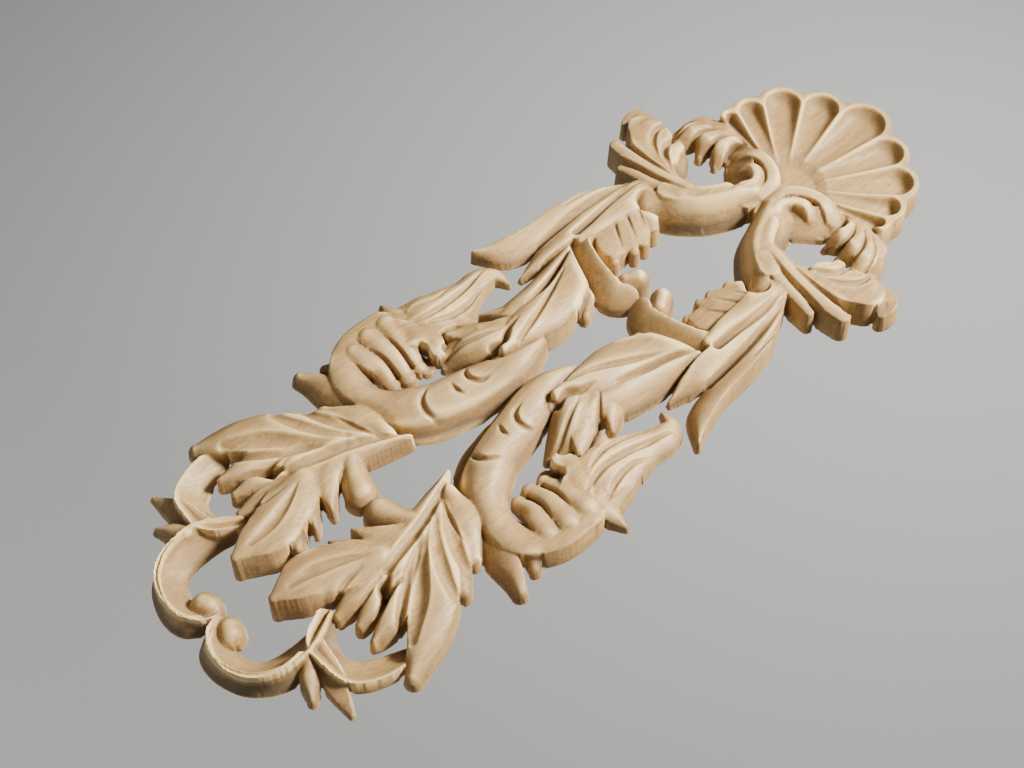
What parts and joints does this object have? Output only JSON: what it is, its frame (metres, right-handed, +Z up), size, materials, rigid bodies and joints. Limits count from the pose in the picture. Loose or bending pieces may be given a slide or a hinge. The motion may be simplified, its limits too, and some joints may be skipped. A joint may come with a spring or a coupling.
{
  "type": "carved wooden applique",
  "caption": "Pierced floral wood carving with a scalloped shell, volutes, acanthus leaves and curls, the same on both sides of its middle line, flat at the back for fixing.",
  "frame": {"origin": "on the flat back, on the middle line, at the notch between the two volutes under the shell", "axes": "+Z up along the carving towards the shell, +Y out of the flat back into the wall, +X to the right seen from the front"},
  "size_m": [0.1884, 0.0208, 0.4663],
  "materials": {
    "wood": "satin, sanded, unvarnished"
  },
  "bodies": {
    "root": {"carving": "wood"}
  },
  "joints": []
}
